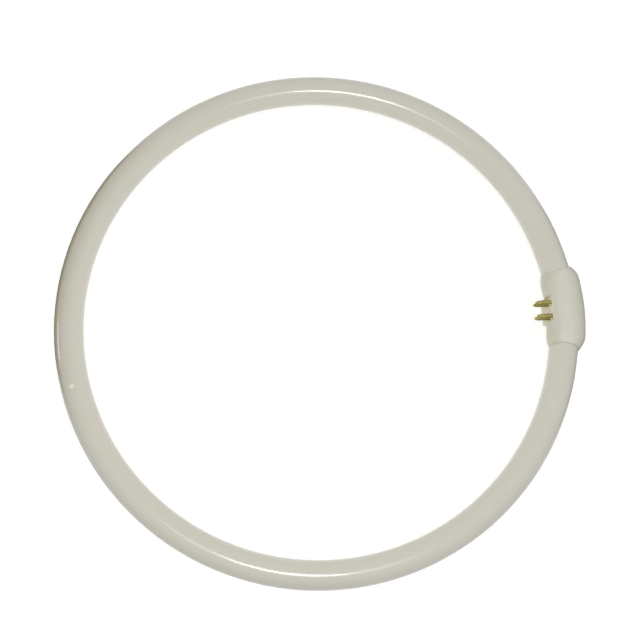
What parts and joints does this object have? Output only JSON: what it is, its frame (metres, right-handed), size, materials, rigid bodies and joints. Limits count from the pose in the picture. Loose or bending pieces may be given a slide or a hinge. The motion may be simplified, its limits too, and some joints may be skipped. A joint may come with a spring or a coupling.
{
  "type": "circular fluorescent tube",
  "caption": "Slim ring-shaped fluorescent lamp tube, coated white, closed by a moulded white cap with brass contact pins that point at the ring's centre.",
  "frame": {"origin": "centre of the ring, in the tube's middle plane", "axes": "+Z along the ring's axis, up when the lamp lies flat; +X from the ring's centre to the cap"},
  "size_m": [0.303, 0.299, 0.0206],
  "materials": {
    "coated_glass": "glossy clear glass over a matt off-white phosphor coat, opaque",
    "cap_plastic": "moulded white plastic, satin gloss",
    "pin_brass": "drawn brass, slightly dull",
    "lead_metal": "bare nickel-plated wire"
  },
  "bodies": {
    "root": {"glass_tube": "coated_glass", "cap_front_half": "cap_plastic", "cap_rear_half": "cap_plastic", "pin_upper_front": "pin_brass", "pin_upper_rear": "pin_brass", "pin_lower_front": "pin_brass", "pin_lower_rear": "pin_brass", "lead_upper_front": "lead_metal", "lead_upper_rear": "lead_metal", "lead_lower_front": "lead_metal", "lead_lower_rear": "lead_metal"}
  },
  "joints": []
}
